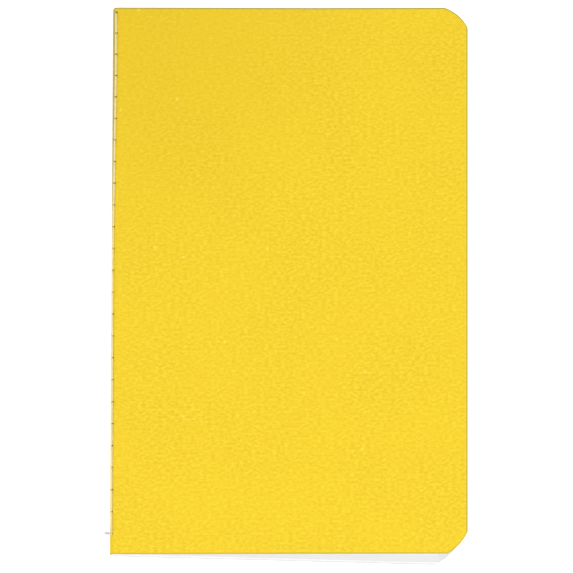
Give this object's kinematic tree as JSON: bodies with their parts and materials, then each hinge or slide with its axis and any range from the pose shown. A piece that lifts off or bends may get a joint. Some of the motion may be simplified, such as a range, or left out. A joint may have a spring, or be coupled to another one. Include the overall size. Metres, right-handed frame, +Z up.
{
  "type": "notebook",
  "caption": "Slim pocket notebook with a plain card cover sewn through its fold, lying flat with its front cover standing a little open.",
  "frame": {"origin": "centre of the back cover's outer face, on which the notebook lies", "axes": "+X from the spine to the fore-edge, +Y from the tail to the head, +Z up out of the front cover"},
  "size_m": [0.0915, 0.14, 0.0237],
  "materials": {
    "card": "matte",
    "pages": "matte",
    "thread": "satin"
  },
  "bodies": {
    "book_block": {"page_block": "pages", "spine_fold": "card", "spine_thread": "thread", "centre_thread": "thread"},
    "front_cover": {"front_cover": "card"},
    "back_cover": {"back_cover": "card"}
  },
  "joints": [
    {"name": "front_cover_hinge", "type": "hinge", "parent": "book_block", "child": "front_cover", "pos_m": [-0.043, 0, 0.00501], "axis": [0, -1, 0], "range_deg": [-11.6, 167.7], "stiffness_Nm_per_rad": 0.004, "springref_deg": 20.8},
    {"name": "back_cover_hinge", "type": "hinge", "parent": "book_block", "child": "back_cover", "pos_m": [-0.043, 0, -0.00005], "axis": [0, 1, 0], "range_deg": [0, 180]}
  ]
}
